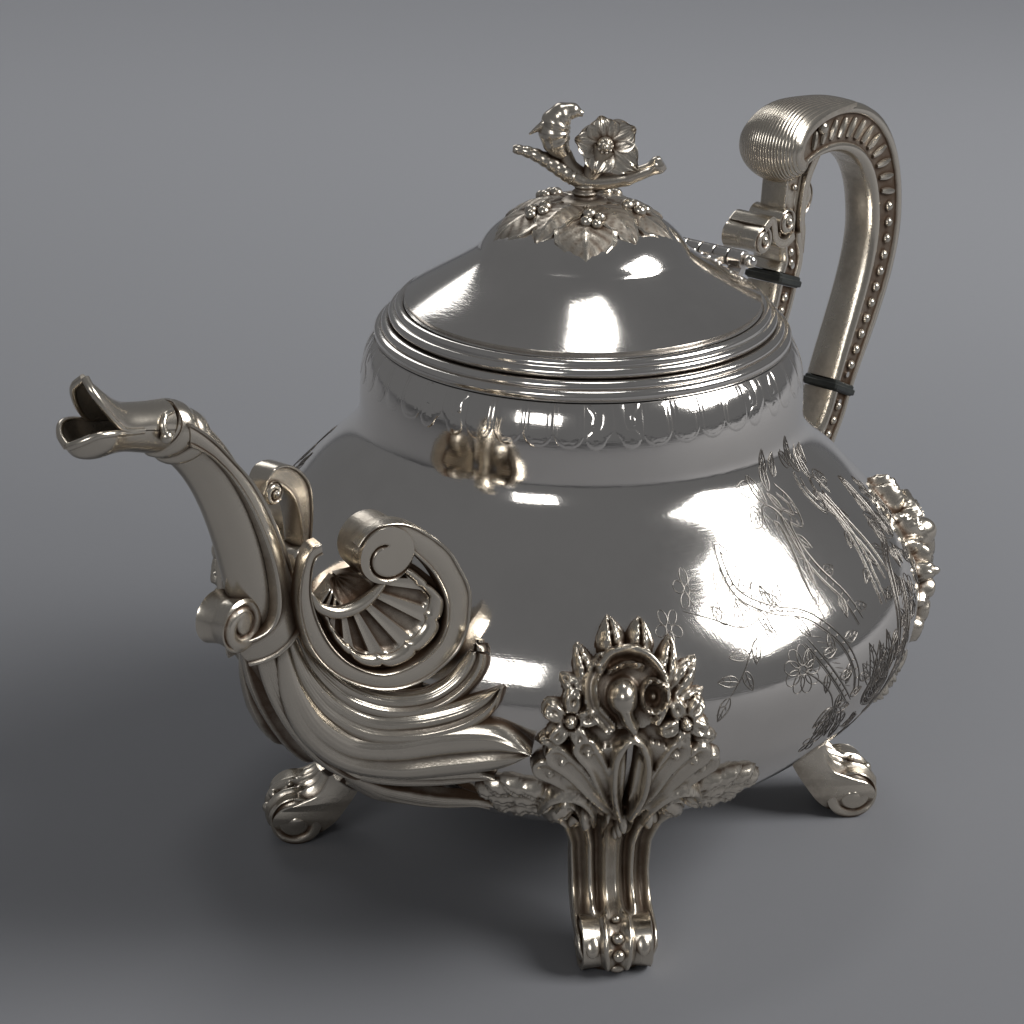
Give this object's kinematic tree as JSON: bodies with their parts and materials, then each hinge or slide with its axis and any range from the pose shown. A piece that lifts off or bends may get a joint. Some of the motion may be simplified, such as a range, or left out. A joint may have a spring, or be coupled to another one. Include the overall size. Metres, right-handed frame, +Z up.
{
  "type": "teapot",
  "caption": "Silver teapot on scroll feet with a hinged domed lid, flower finial, cast beak spout and insulated scroll handle.",
  "frame": {"origin": "on the table under the body's axis, in the plane of the four feet", "axes": "+Z up; +X towards the handle, the spout points to -X; -Y is the side seen with the spout on the left"},
  "size_m": [0.2996, 0.1676, 0.186],
  "materials": {
    "raised_silver": "polished sheet silver, lightly tarnished",
    "cast_silver": "polished cast silver with brown tarnish in the recesses",
    "worked_silver": "polished silver fittings",
    "ebonite": "near-black satin insulator"
  },
  "bodies": {
    "pot": {"body_shell": "raised_silver", "mouth_collar": "raised_silver", "hinge_bracket": "worked_silver", "hinge_pin": "worked_silver", "spout": "cast_silver", "spout_collar": "cast_silver", "spout_ribbon_left": "cast_silver", "spout_ribbon_right": "cast_silver", "spout_volute": "cast_silver", "spout_ridge_scroll": "cast_silver", "c_scroll_left": "cast_silver", "c_scroll_right": "cast_silver", "scallop_shell_left": "cast_silver", "scallop_shell_right": "cast_silver", "acanthus_left": "cast_silver", "acanthus_right": "cast_silver", "handle_grip": "cast_silver", "handle_thumb_scroll": "cast_silver", "handle_neck": "cast_silver", "insulator_upper": "ebonite", "insulator_lower": "ebonite", "handle_socket_upper": "cast_silver", "handle_socket_lower": "cast_silver", "insulator_pins": "worked_silver", "foot_spout_left": "cast_silver", "foot_spout_right": "cast_silver", "foot_handle_left": "cast_silver", "foot_handle_right": "cast_silver", "cartouche_spout_left": "cast_silver", "cartouche_spout_right": "cast_silver", "cartouche_handle_left": "cast_silver", "cartouche_handle_right": "cast_silver"},
    "lid": {"lid_bezel": "raised_silver", "lid_dome": "raised_silver", "hinge_leaf": "worked_silver", "finial_rosette": "cast_silver", "finial_stem": "cast_silver", "finial_flower": "cast_silver", "finial_bud": "cast_silver", "finial_stud": "worked_silver", "finial_nut": "worked_silver"}
  },
  "joints": [
    {"name": "lid_hinge", "type": "hinge", "parent": "pot", "child": "lid", "pos_m": [0.053, 0, 0.1388], "axis": [0, 1, 0], "range_deg": [0, 85]}
  ]
}
